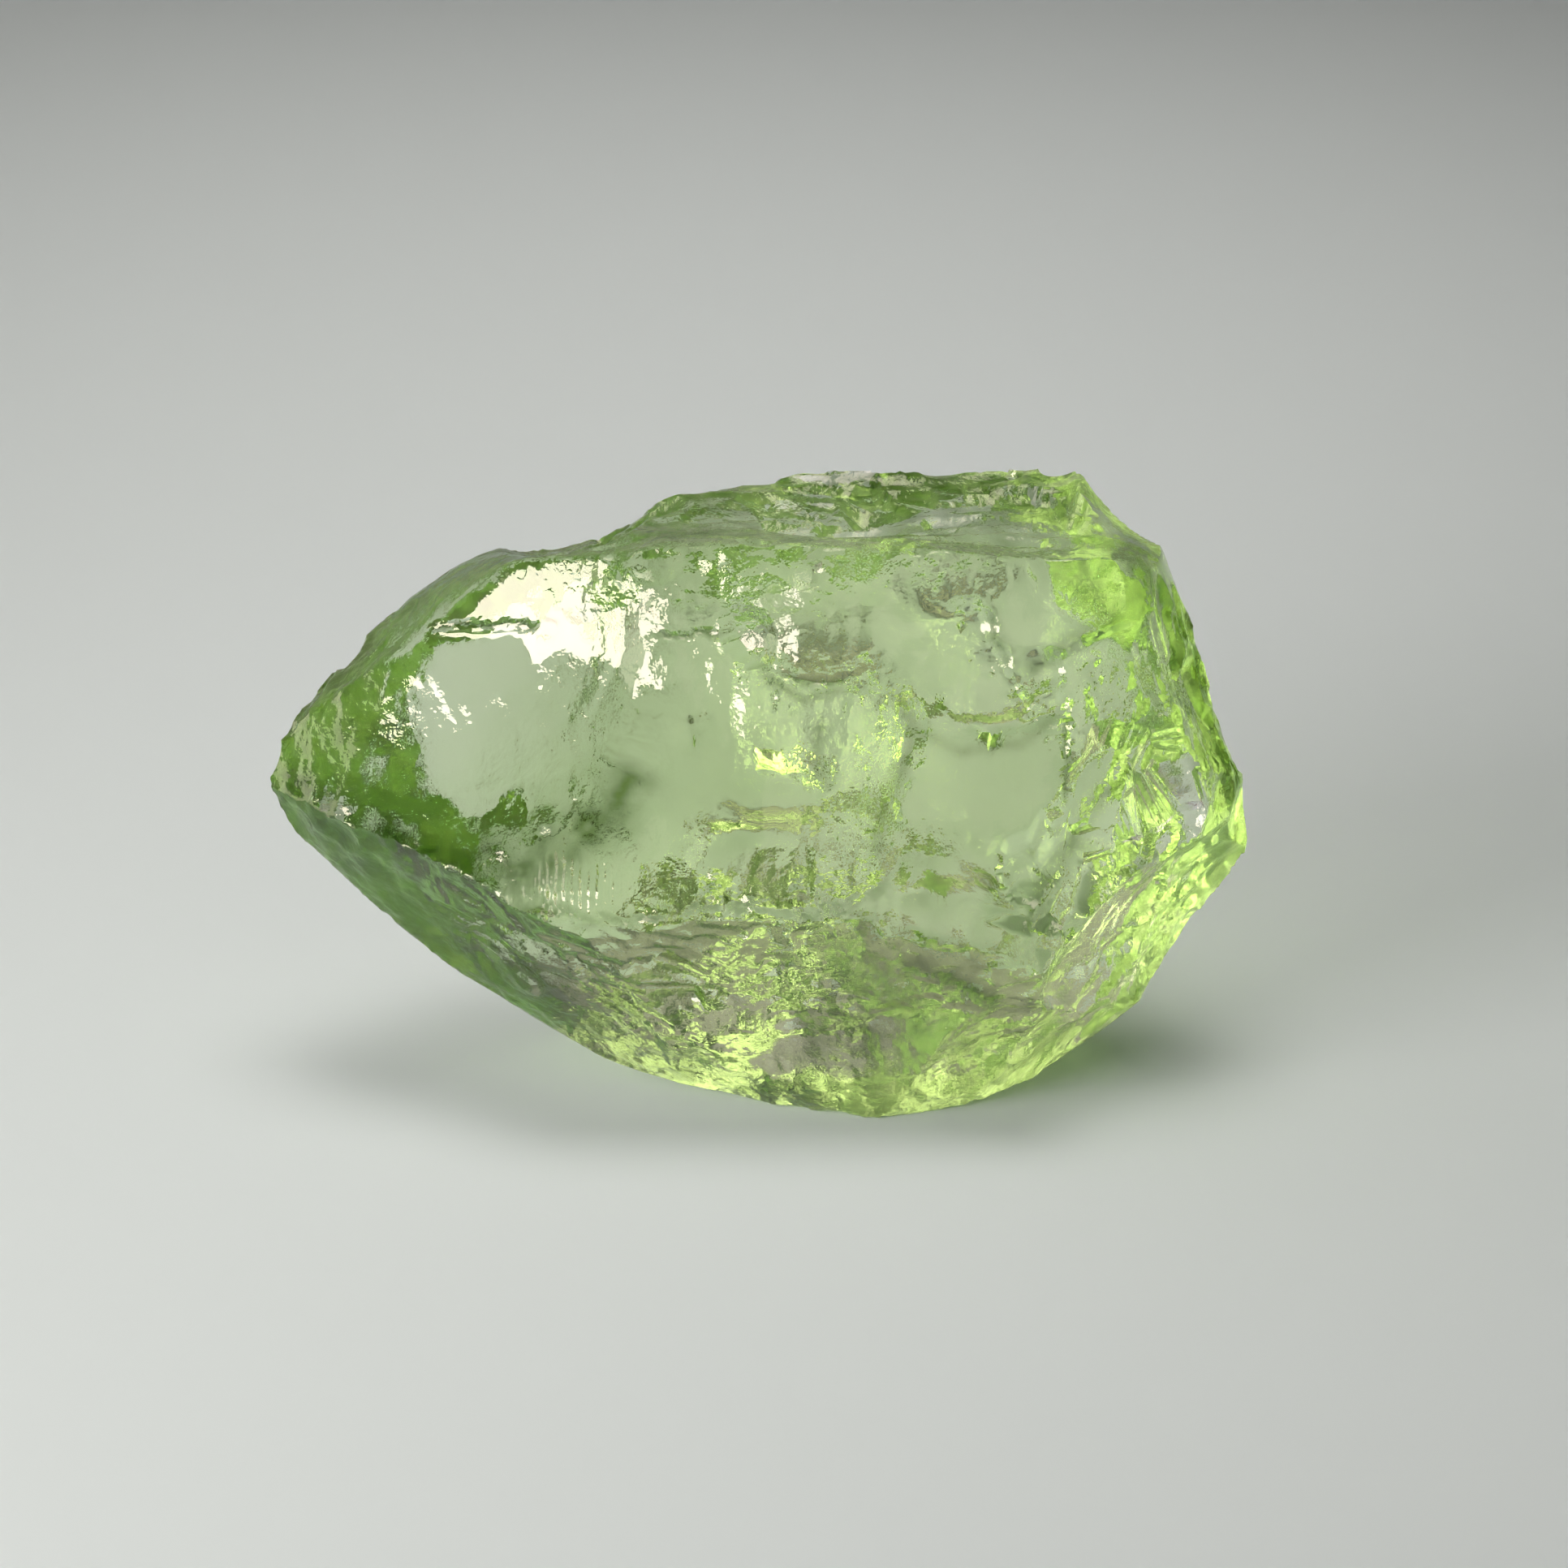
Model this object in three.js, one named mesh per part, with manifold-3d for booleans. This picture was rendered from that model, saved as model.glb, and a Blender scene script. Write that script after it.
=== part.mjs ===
// A loose fragment of clear green tourmaline, gem rough about 13 mm long.
// It is one natural piece: a lump bounded by broken faces, with shell-shaped flake scars, a few
// ledges and small chips along its ridges. It rests on a flat broken foot. Millimetres, +Z up.
import * as THREE from "three";
import { ConvexGeometry } from "three/addons/geometries/ConvexGeometry.js";
import { TessellateModifier } from "three/addons/modifiers/TessellateModifier.js";
import { ImprovedNoise } from "three/addons/math/ImprovedNoise.js";
import { mergeVertices } from "three/addons/utils/BufferGeometryUtils.js";
import Module from "manifold-3d";

const wasm = await Module();
wasm.setup();

// Driving dimensions
const LENGTH = 12.8; // tip to tip
const FOOT_DROP = 4.2; // from the middle of the broad face down to the foot, along the face
const LEAN = THREE.MathUtils.degToRad(20); // how far the broad face leans back from upright
const SKIN_EDGE = 0.95; // longest edge of the lump's skin before it is broken into
const SWELL = 0.07; // how far the broken faces swell and hollow
const SWELL_WIDTH = 2.3; // from one swell to the next
const FACET = 0.45; // size of the facets that a curved scar is made of
const EGG_CURVE = 3; // how many times its scar's depth an egg is high
const UNEVEN = 0.3; // how uneven an egg is, as a share of its scar's depth
const CHIP_LENGTH = [0.6, 1.5]; // shortest and longest chip along a ridge
const CHIP_DEPTH = 0.14; // a chip's depth, as a share of its length
const CHIP_REACH = 0.35; // how far to each side of a ridge its two faces are felt for
const COLOUR = 0x9fc46e;

// Every corner of the lump is given on its broad face: right, back and up from the face's middle.
const corner = ([right, back, up]) => new THREE.Vector3(right, back, up);

// The outline of the broad face, clockwise from the left tip.
const rim = [
  [-6.43, 0.0, -0.05],
  [-6.28, 0.1, 0.55],
  [-5.75, 0.4, 1.2],
  [-5.2, 0.6, 1.85],
  [-4.62, 0.8, 2.38],
  [-3.95, 1.0, 2.86],
  [-2.6, 1.2, 3.25],
  [-1.05, 1.5, 3.8],
  [-0.2, 1.7, 4.14],
  [1.2, 1.9, 4.22],
  [3.25, 2.0, 4.33],
  [4.15, 1.6, 4.1],
  [5.2, 0.3, 3.05],
  [5.35, 0.3, 2.6],
  [5.85, 0.2, 1.37],
  [6.22, 0.2, 0.35],
  [6.45, 0.2, -0.55],
  [6.3, 0.2, -1.0],
  [5.0, 0.5, -2.85],
  [4.41, 0.8, -3.3],
  [3.57, 0.4, -3.82],
  [2.73, -0.1, -4.14],
  [1.47, -0.4, -4.38],
  [0.21, -0.1, -4.24],
  [-0.84, 0.2, -4.04],
  [-2.0, 0.7, -3.66],
  [-3.15, 0.6, -3.02],
  [-3.99, 0.5, -2.52],
  [-4.94, 0.2, -1.7],
  [-5.67, 0.1, -0.97],
  [-6.25, 0.0, -0.5],
];

// The corners nearest the front, round the broad face.
const front = [
  [-3.15, -1.2, 2.75],
  [-0.42, -1.9, 2.95],
  [2.2, -2.0, 2.85],
  [4.5, -1.5, 2.8],
  [5.1, -1.1, 2.6],
  [5.35, -1.3, 1.05],
  [5.7, -1.05, -0.1],
  [4.6, -1.75, -1.2],
  [3.5, -2.35, -2.35],
  [1.47, -2.7, -1.85],
  [-0.42, -2.8, -1.55],
  [-2.52, -2.4, -1.85],
  [-5.2, -1.15, -0.65],
];

// The corners nearest the back.
const behind = [
  [-3.9, 2.3, 1.5],
  [-0.6, 3.4, 2.5],
  [2.6, 3.5, 2.6],
  [4.7, 2.5, 1.4],
  [4.7, 2.1, -1.2],
  [1.9, 2.9, -1.2],
  [-1.6, 2.75, -0.9],
  [-4.3, 1.8, -0.4],
];

// The foot's two heels reach a little lower than the floor, and are cut off flat there.
const below = [
  [-2.3, 2.6, -3.6],
  [3.9, 2.7, -3.6],
];

// Seeded numbers from 0 to 1, so that the same stone comes out each time.
function seeded(seed) {
  let state = seed;
  return () => {
    state = (Math.imul(state, 1664525) + 1013904223) >>> 0;
    return state / 4294967296;
  };
}

// A closed geometry as a solid that can be cut.
function solidOf(geometry) {
  const bare = new THREE.BufferGeometry().setAttribute("position", geometry.getAttribute("position"));
  if (geometry.index) bare.setIndex(geometry.index);
  const merged = mergeVertices(bare, 1e-4);
  return new wasm.Manifold(
    new wasm.Mesh({
      numProp: 3,
      vertProperties: merged.attributes.position.array,
      triVerts: new Uint32Array(merged.index.array),
    }),
  );
}

function geometryOf(solid) {
  const mesh = solid.getMesh();
  const geometry = new THREE.BufferGeometry();
  geometry.setAttribute("position", new THREE.BufferAttribute(new Float32Array(mesh.vertProperties), 3));
  geometry.setIndex(new THREE.BufferAttribute(new Uint32Array(mesh.triVerts), 1));
  return geometry;
}

// Moves each vertex in or out by a smooth noise, so that no broken face is truly flat.
function swell(geometry, amount, width) {
  const noise = new ImprovedNoise();
  const position = geometry.getAttribute("position");
  const point = new THREE.Vector3();
  for (let i = 0; i < position.count; i++) {
    point.fromBufferAttribute(position, i);
    const { x, y, z } = point.clone().divideScalar(width);
    const rise = noise.noise(x + 3.1, y + 7.7, z + 1.3) + 0.4 * noise.noise(2.3 * x, 2.3 * y + 5, 2.3 * z);
    point.addScaledVector(point.clone().normalize(), amount * rise);
    position.setXYZ(i, point.x, point.y, point.z);
  }
  return geometry;
}

function makeLump() {
  const hull = new ConvexGeometry([...rim, ...front, ...behind, ...below].map(corner));
  const skin = new TessellateModifier(SKIN_EDGE, 12).modify(hull);
  return solidOf(swell(skin, SWELL, SWELL_WIDTH));
}

// Where a straight line along `heading` first meets the stone, and the face's outward normal there.
function strike(solid, through, heading) {
  const mesh = new THREE.Mesh(geometryOf(solid));
  const start = through.clone().addScaledVector(heading, -2 * LENGTH);
  const [hit] = new THREE.Raycaster(start, heading).intersectObject(mesh);
  return { point: hit.point, normal: hit.face.normal.clone() };
}

// The shell-shaped scar of one flake: the underside of an egg that dips `depth` into the stone, with
// a surface uneven enough that its edge wanders.
function scar({ point, normal, length, width, depth, turn = 0 }) {
  const high = EGG_CURVE * depth + 0.2 * width;
  const share = Math.sqrt(1 - (1 - depth / high) ** 2);
  const [along, across] = [length / 2 / share, width / 2 / share];
  const detail = THREE.MathUtils.clamp(Math.round(along / FACET), 5, 14);
  const egg = new THREE.IcosahedronGeometry(1, detail).scale(along, across, high);
  wander(egg, point, UNEVEN * depth, width / 2);
  const place = new THREE.Object3D();
  place.position.copy(point).addScaledVector(normal, high - depth);
  place.quaternion.setFromUnitVectors(new THREE.Vector3(0, 0, 1), normal);
  place.rotateZ(THREE.MathUtils.degToRad(turn));
  place.updateMatrix();
  return solidOf(egg.applyMatrix4(place.matrix));
}

// Lifts and lowers an egg's skin by a smooth noise that differs from place to place.
function wander(egg, place, amount, width) {
  const noise = new ImprovedNoise();
  const position = egg.getAttribute("position");
  for (let i = 0; i < position.count; i++) {
    const [x, y] = [position.getX(i) / width + place.x, position.getY(i) / width + place.z];
    const rise = noise.noise(x, y, 3.7) + 0.5 * noise.noise(2.1 * x, 2.1 * y, 9.1);
    position.setZ(i, position.getZ(i) + amount * rise);
  }
}

// The lines that the scars are looked at along, each into the stone.
const along = (right, back, up) => new THREE.Vector3(right, back, up).normalize();
const BACKWARD = along(0, 1, 0);
const FORWARD = along(0, -1, 0);
const DOWNWARD = along(0, 0.45, -1);
const UPWARD = along(0, 0.8, 0.6);
const UP_LEFTWARD = along(-0.5, 0.7, 0.5);
const UP_RIGHTWARD = along(0.5, 0.7, 0.5);

// The large scars: a point each is centred on, the line it is seen along, its size, and, where it
// doesn't lie along the face it is struck from, the way its middle faces.
const flakes = [
  // The broad front face, in two shallow shells that meet left of the middle
  { at: [3.0, 0, 0.3], seen: BACKWARD, facing: [0.07, -1, 0.07], length: 7.8, width: 7.0, depth: 0.28 },
  { at: [-0.4, 0, 0.3], seen: BACKWARD, facing: [-0.12, -1, 0.1], length: 5.2, width: 6.8, depth: 0.26 },
  // The bowl towards the left tip
  { at: [-3.8, 0, 0.7], seen: BACKWARD, facing: [-0.32, -1, 0.2], length: 6.4, width: 5.0, depth: 0.36, turn: -14 },
  // The arched scar under the broad face
  { at: [0.3, -1.95, -2.75], seen: UPWARD, length: 7.4, width: 3.3, depth: 0.3, turn: 4 },
  { at: [2.8, -1.3, -3.2], seen: UPWARD, length: 2.8, width: 2.2, depth: 0.2, turn: -20 },
  // The long lower left face
  { at: [-4.0, -1.0, -1.75], seen: UP_RIGHTWARD, length: 6.4, width: 2.6, depth: 0.18, turn: 30 },
  { at: [-2.3, -1.0, -2.9], seen: UP_RIGHTWARD, length: 3.6, width: 2.2, depth: 0.16, turn: 10 },
  // The chipped lower right corner
  { at: [4.9, -0.9, -1.7], seen: UP_LEFTWARD, length: 4.8, width: 3.2, depth: 0.32, turn: 50 },
  { at: [4.25, 0, -1.35], seen: BACKWARD, facing: [0.1, -1, -0.1], length: 1.4, width: 0.9, depth: 0.14, turn: 50 },
  { at: [5.3, 0, 0.2], seen: BACKWARD, facing: [0.35, -1, -0.2], length: 2.8, width: 1.7, depth: 0.14, turn: 62 },
  // The right end
  { at: [5.6, -0.6, 1.5], seen: along(-1, 0.1, 0), length: 4.6, width: 2.6, depth: 0.14, turn: 80 },
  // The sloping top, with its second ledge on the right and a notch at each end
  { at: [-0.3, -0.1, 3.5], seen: DOWNWARD, length: 7.0, width: 3.8, depth: 0.26 },
  { at: [2.9, 0.7, 3.9], seen: DOWNWARD, length: 4.6, width: 2.8, depth: 0.22, turn: 8 },
  { at: [3.2, -1.0, 3.2], seen: DOWNWARD, length: 4.4, width: 1.8, depth: 0.14, turn: 4 },
  { at: [-2.3, 0.9, 3.4], seen: along(0, 0.2, -1), length: 2.2, width: 4.2, depth: 0.34 },
  { at: [4.75, 0.9, 3.6], seen: along(-0.7, 0, -0.7), length: 1.5, width: 3.0, depth: 0.18 },
  // Two small ledges on the broad face
  { at: [3.9, 0, 2.15], seen: BACKWARD, facing: [0.12, -1, 0.2], length: 2.8, width: 1.7, depth: 0.12, turn: 30 },
  { at: [2.85, 0, 0.9], seen: BACKWARD, facing: [0.05, -1, 0.1], length: 2.2, width: 1.0, depth: 0.06, turn: 4 },
  // The back
  { at: [2.0, 0, 0.3], seen: FORWARD, facing: [0.02, 1, -0.05], length: 8.6, width: 6.6, depth: 0.3 },
  { at: [-2.9, 0, 0.5], seen: FORWARD, facing: [-0.3, 1, 0.05], length: 6.2, width: 5.0, depth: 0.3, turn: 12 },
  // The hollow between the heels
  { at: [0.75, 0, -2.0], seen: FORWARD, facing: [0, 0.88, -0.48], length: 5.2, width: 9.0, depth: 0.6 },
  { at: [4.9, 1.6, 0.2], seen: along(-0.8, -1, 0), length: 4.6, width: 3.4, depth: 0.26, turn: 70 },
  { at: [0.6, 2.8, 3.3], seen: along(0, -0.7, -1), length: 6.0, width: 2.2, depth: 0.2, turn: -6 },
  { at: [-3.6, 1.6, 2.1], seen: along(0.3, -0.7, -0.7), length: 4.2, width: 2.0, depth: 0.18, turn: 30 },
  { at: [3.7, 1.9, -2.9], seen: along(-0.4, -0.8, 0.6), length: 3.4, width: 2.0, depth: 0.2, turn: 20 },
  { at: [-4.4, 0.9, -1.6], seen: along(0.5, -0.7, 0.5), length: 4.4, width: 1.9, depth: 0.16, turn: 28 },
];

function breakFlakes(lump) {
  let stone = lump;
  for (const { at, seen, facing, ...size } of flakes) {
    const hit = strike(stone, corner(at), seen);
    const normal = facing ? along(...facing) : hit.normal;
    stone = stone.subtract(scar({ point: hit.point, normal, ...size }));
  }
  return stone;
}

// The ridges that are chipped: both ends of each, the line they are seen along and how many chips.
const chippedRidges = [
  { from: [3.6, 0, -2.2], to: [5.5, 0, 0.2], seen: BACKWARD, chips: 6 },
  { from: [5.3, 0, 0.7], to: [5.0, 0, 1.9], seen: BACKWARD, chips: 2 },
  { from: [-3.6, 0, 1.8], to: [4.2, 0, 2.5], seen: FORWARD, chips: 3 },
  { from: [-3.0, 0, -1.2], to: [4.4, 0, -1.9], seen: FORWARD, chips: 3 },
];

// Small chips at random places along the ridges. Each faces halfway between the two faces it bites.
function chipRidges(stone) {
  const random = seeded(11);
  const between = (least, most) => least + (most - least) * random();
  const chips = [];
  for (const { from, to, seen, chips: count } of chippedRidges) {
    const sideways = corner(to).sub(corner(from)).cross(seen).setLength(CHIP_REACH);
    for (let i = 0; i < count; i++) {
      const at = corner(from).lerp(corner(to), (i + between(0.1, 0.9)) / count);
      const hit = strike(stone, at, seen);
      const normal = strike(stone, at.clone().add(sideways), seen).normal;
      normal.add(strike(stone, at.clone().sub(sideways), seen).normal).normalize();
      const length = between(...CHIP_LENGTH);
      const size = { length, width: length * between(0.5, 0.9), depth: length * CHIP_DEPTH };
      chips.push(scar({ point: hit.point, normal, turn: between(0, 180), ...size }));
    }
  }
  return chips.reduce((left, chip) => left.subtract(chip), stone);
}

// The flat foot, level once the stone leans.
function cutFoot(stone) {
  const size = 4 * LENGTH;
  const floor = new THREE.BoxGeometry(size, size, size).translate(0, 0, -size / 2);
  return stone.subtract(solidOf(floor));
}

function makeStone() {
  const broken = geometryOf(chipRidges(breakFlakes(makeLump())));
  broken.rotateX(-LEAN).translate(0, 0, FOOT_DROP * Math.cos(LEAN));
  const standing = geometryOf(cutFoot(solidOf(broken)));
  standing.computeBoundingBox();
  const middle = standing.boundingBox.getCenter(new THREE.Vector3());
  return standing.translate(-middle.x, -middle.y, 0);
}

const stone = new THREE.Group();
const tourmaline = new THREE.Mesh(
  makeStone(),
  new THREE.MeshStandardMaterial({ color: COLOUR, roughness: 0.08, metalness: 0 }),
);
tourmaline.name = "tourmaline";
stone.add(tourmaline);

export default stone;
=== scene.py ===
"""A loose fragment of clear green tourmaline, resting on a pale floor under soft studio light.

The stone is one piece of natural rough about 13 mm long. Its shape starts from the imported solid.
Places on it are given in millimetres on its broad face: right, back and up from the face's middle.
The face leans back, and the camera looks at it square on.
"""

import math
import random

import bmesh
import bpy
import numpy as np
from bpy.props import FloatProperty, FloatVectorProperty, IntProperty, PointerProperty
from mathutils import Matrix, Vector, noise
from mathutils.kdtree import KDTree


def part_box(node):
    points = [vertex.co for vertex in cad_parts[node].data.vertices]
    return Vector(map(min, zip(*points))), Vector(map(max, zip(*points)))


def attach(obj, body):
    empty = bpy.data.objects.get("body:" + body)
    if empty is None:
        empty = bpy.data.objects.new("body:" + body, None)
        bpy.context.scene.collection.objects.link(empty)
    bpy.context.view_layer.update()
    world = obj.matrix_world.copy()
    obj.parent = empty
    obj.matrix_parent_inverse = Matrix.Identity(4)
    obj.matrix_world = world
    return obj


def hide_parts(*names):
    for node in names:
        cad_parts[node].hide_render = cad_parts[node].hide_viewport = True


bl_info = {
    "name": "Rough Tourmaline",
    "version": (1, 0, 0),
    "blender": (4, 2, 0),
    "location": "3D View > Sidebar > Tourmaline",
    "description": "Builds a fragment of clear green tourmaline and a small studio to see it in",
    "category": "Object",
}

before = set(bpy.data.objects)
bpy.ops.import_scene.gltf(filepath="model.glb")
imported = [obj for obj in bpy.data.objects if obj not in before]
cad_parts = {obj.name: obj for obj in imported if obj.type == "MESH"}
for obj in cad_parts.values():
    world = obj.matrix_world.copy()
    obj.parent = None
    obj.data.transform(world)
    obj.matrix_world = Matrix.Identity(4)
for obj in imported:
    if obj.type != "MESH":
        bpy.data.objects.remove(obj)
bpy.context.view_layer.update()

NODE = "tourmaline"
MM = 0.001
LEAN = math.radians(20)
FACE_MIDDLE = Vector((0.02, -0.569, 3.947))

# A turn from the face's own right, back and up to the scene's axes
FACE_TURN = Matrix.Rotation(-LEAN, 3, "X")


def on_scene(right, back, up):
    """A place on the broad face, in the scene's millimetres."""
    return FACE_MIDDLE + FACE_TURN @ Vector((right, back, up))


# Where the skin is crumpled and frosted: middle and reach along right, back and up
CRUMPLED = (
    ((0.2, 0.2, 3.7), (3.2, 2.2, 0.75)),
    ((3.0, 0.0, 3.5), (2.0, 1.6, 0.7)),
    ((0.2, -1.7, 2.3), (1.3, 0.8, 0.9)),
    ((-2.4, 0.4, 3.2), (1.3, 1.4, 0.5)),
)

# Where fine ribs run side by side like the teeth of a comb
COMBED = (((-2.4, -2.0, -1.35), (0.75, 0.8, 0.5)),)

# The clear, smooth parts of the broad face
WINDOWS = (
    ((-3.6, -1.5, 0.25), (2.2, 1.5, 0.95)),
    ((2.0, -2.0, 1.85), (1.0, 1.2, 0.65)),
    ((3.9, -1.8, 1.85), (1.0, 1.2, 0.65)),
    ((3.0, -2.0, 0.3), (1.5, 1.2, 1.2)),
    ((2.6, -2.2, -1.5), (1.4, 1.2, 1.0)),
    ((-0.1, -2.2, -0.2), (1.0, 1.2, 1.3)),
    ((-3.4, -1.2, 1.8), (2.0, 1.6, 1.1)),
    ((-1.4, -2.0, 0.3), (1.5, 1.2, 1.5)),
)

# Where small scars overlap: middle and reach as above, the way they run, how many, their widths, how
# many times longer than wide and how deep for their width they are
CHIPPED = (
    {"middle": (4.4, -1.3, -1.0), "reach": (1.2, 1.2, 1.2), "along": (0.6, 0, 0.8), "count": 160,
     "width": (0.06, 0.18), "stretch": 3.5, "depth": 0.4},
    {"middle": (5.4, -0.6, -0.9), "reach": (1.0, 1.2, 1.2), "along": (0.8, 0, 0.6), "count": 40,
     "width": (0.1, 0.3), "stretch": 2, "depth": 0.3},
    {"middle": (4.4, -0.6, -2.6), "reach": (1.4, 1.4, 0.9), "along": (0.8, 0, 0.6), "count": 60,
     "width": (0.1, 0.3), "stretch": 2, "depth": 0.3},
    {"middle": (0.2, -1.9, -2.4), "reach": (2.6, 1.6, 1.2), "along": (1, 0, -0.2), "count": 60,
     "width": (0.05, 0.2), "stretch": 1.3, "depth": 0.25},
    {"middle": (-2.4, -1.5, -2.2), "reach": (2.2, 1.4, 1.0), "along": (1, 0, -0.5), "count": 110,
     "width": (0.05, 0.14), "stretch": 4, "depth": 0.3},
    {"middle": (2.9, -1.4, -3.0), "reach": (1.3, 1.3, 1.0), "along": (1, 0, 0.4), "count": 70,
     "width": (0.06, 0.2), "stretch": 2, "depth": 0.35},
    {"middle": (5.6, -0.2, 1.5), "reach": (0.6, 1.4, 1.6), "along": (0.3, 0, -1), "count": 80,
     "width": (0.08, 0.2), "stretch": 3, "depth": 0.3},
    {"middle": (0.4, 0.0, 3.6), "reach": (3.6, 2.4, 0.9), "along": (1, 0.2, -0.1), "count": 320,
     "width": (0.06, 0.2), "stretch": 4, "depth": 0.25},
)

# Ledges on the skin, as seen on the broad face. Right of its line, going along it, the skin drops
# by `drop` within `edge` and rises again over `fade`. The side is -1 on the front and 1 on the back.
LEDGES = (
    {"line": ((2.9, 2.35), (2.95, 1.8), (3.2, 1.3), (3.8, 1.65), (4.65, 2.1)),
     "drop": 0.1, "fade": 0.7, "edge": 0.12, "side": -1},
    {"line": ((1.6, 1.4), (2.0, 0.75), (2.5, 0.58), (3.25, 0.68), (3.9, 1.2)),
     "drop": 0.28, "fade": 0.6, "edge": 0.32, "side": 1},
    {"line": ((0.75, 1.4), (0.65, 0.6), (0.7, 0.1), (0.85, -0.3)),
     "drop": 0.22, "fade": 0.5, "edge": 0.3, "side": 1},
    {"line": ((1.8, 1.1), (1.9, 0.5), (1.7, 0.0), (1.45, -0.6), (1.35, -1.2)),
     "drop": 0.24, "fade": 0.5, "edge": 0.3, "side": 1},
    {"line": ((1.2, 1.15), (0.5, 1.3), (-0.1, 1.15)),
     "drop": 0.22, "fade": 0.5, "edge": 0.25, "side": 1},
    {"line": ((5.75, -0.25), (5.2, -0.7), (4.65, -1.2), (4.05, -1.8)),
     "drop": 0.1, "fade": 0.5, "edge": 0.12, "side": -1},
    {"line": ((4.9, 0.2), (4.35, -0.2), (3.95, -0.75), (3.6, -1.3), (3.4, -2.0)),
     "drop": 0.12, "fade": 0.6, "edge": 0.12, "side": -1},
    {"line": ((-4.4, 1.95), (-3.6, 2.0), (-2.8, 1.97)),
     "drop": 0.04, "fade": 0.5, "edge": 0.1, "side": -1},
    {"line": ((-5.3, -0.1), (-4.6, -0.45), (-3.6, -0.65), (-2.6, -0.5)),
     "drop": 0.2, "fade": 0.8, "edge": 0.4, "side": 1},
)

# Where short ledges that face down lie close together on the back: middle and reach along right and
# up, and how many
NOTCHED = (
    {"middle": (-1.95, 2.1), "reach": (0.6, 0.35), "count": 7},
    {"middle": (2.8, 1.0), "reach": (1.0, 0.4), "count": 7},
    {"middle": (-0.8, 0.6), "reach": (0.6, 1.0), "count": 3},
)

# Where the back is broken into many shallow hollows
BROKEN = (
    ((0.6, 2.2, -1.6), (3.4, 2.2, 1.5)),
    ((4.6, 1.6, -1.2), (1.7, 2.0, 2.0)),
    ((-2.6, 2.0, 2.6), (2.0, 1.6, 0.9)),
    ((1.5, 3.0, 3.4), (3.4, 1.6, 0.9)),
)

# Hairline cracks that reach the skin
CRACKS = (
    {"line": ((3.86, 1.1), (3.87, 0.2), (3.8, -0.4)), "side": -1},
    {"line": ((3.3, -0.8), (3.5, -1.05)), "side": -1},
    {"line": ((-1.45, 1.84), (-0.4, 1.83)), "side": -1},
    {"line": ((-4.4, 1.97), (-2.8, 1.98)), "side": -1},
    {"line": ((0.1, 1.35), (0.9, 1.2), (1.2, 1.35)), "side": -1},
)

# Painted shade and veils in the skin, away from the back: darker green painted where light runs long inside
# the stone towards dark surroundings (the rim, the right strip, the top slope, the lower lobe) and along the
# ledges, with some real veils of the stone among them. Each has a line along right and up, how wide and how
# deep
PAINTED_SHADE_AND_VEILS = (
    {"line": ((-6.3, 0.0), (-5.4, -0.5), (-4.0, -1.0), (-2.9, -1.1), (-1.9, -0.4), (-1.6, 0.3)),
     "width": 0.36, "depth": 0.8},
    {"line": ((4.6, 3.4), (5.75, 1.2), (6.35, -0.3)), "width": 0.6, "depth": 0.95},
    {"line": ((-6.0, -0.4), (-4.4, -1.9), (-2.5, -3.1), (-0.8, -3.9)), "width": 0.45, "depth": 0.5},
    {"line": ((-1.2, -4.0), (1.0, -4.35), (2.5, -4.1), (4.1, -3.3)), "width": 0.3, "depth": 0.45},
    {"line": ((0.4, -3.1), (1.4, -3.2), (2.2, -3.0)), "width": 0.5, "depth": 0.45},
    {"line": ((1.6, -2.2), (2.5, -2.55), (3.15, -2.95)), "width": 0.16, "depth": 0.9},
    {"line": ((2.45, -3.4), (2.8, -3.35)), "width": 0.16, "depth": 0.8},
    {"line": ((-3.8, 3.2), (0.0, 3.65), (4.4, 3.6)), "width": 0.8, "depth": 0.6},
    {"line": ((0.6, 3.95), (2.0, 4.0), (4.2, 3.7)), "width": 0.3, "depth": 0.6},
    {"line": ((-5.6, 1.0), (-4.6, 2.2), (-3.6, 2.9)), "width": 0.35, "depth": 0.4},
    {"line": ((-0.1, 1.4), (0.5, 1.0), (1.2, 1.2)), "width": 0.07, "depth": 0.6},
    {"line": ((0.75, 0.9), (0.66, 0.25), (0.85, -0.2)), "width": 0.08, "depth": 0.5},
    {"line": ((1.8, 1.0), (1.9, 0.5), (1.7, 0.0), (1.45, -0.65), (1.4, -1.15)),
     "width": 0.1, "depth": 0.5},
    {"line": ((2.9, 2.3), (2.95, 1.8), (3.2, 1.3)), "width": 0.07, "depth": 0.7},
    {"line": ((3.2, 1.3), (3.8, 1.65), (4.6, 2.1)), "width": 0.13, "depth": 0.6},
    {"line": ((1.6, 1.1), (2.0, 0.6), (2.5, 0.35), (3.3, 0.45), (4.0, 1.0)),
     "width": 0.08, "depth": 0.4},
    {"line": ((4.9, 0.2), (4.3, -0.2), (3.95, -0.75), (3.6, -1.3), (3.4, -2.0)),
     "width": 0.12, "depth": 0.5},
    {"line": ((-0.1, 0.9), (-0.1, -1.1)), "width": 0.7, "depth": 0.15},
    {"line": ((-2.5, -1.9), (-0.4, -1.5), (0.6, -1.5), (1.7, -1.85), (3.4, -2.6)),
     "width": 0.08, "depth": 0.3},
)

# How fast a zone's effect rises from its rim towards its middle
ZONE_RISE = 1.6

# Noise: how much weaker and how much finer each octave is, and how far apart two seeds lie
OCTAVE_FALL = 0.8
OCTAVE_STEP = 2.1
SEED_GAP = 17.3

# How fast a line's effect rises from its ends, per millimetre, and how far the line strays
LINE_RISE = 4
LINE_STRAY = 0.05
LEDGE_GRAIN = (0.6, 0.6, 0.6)

# How fast the front's and the back's effects rise as the skin turns to them, and where they begin
SIDE_RISE = 4
SIDE_START = 0.4

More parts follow.
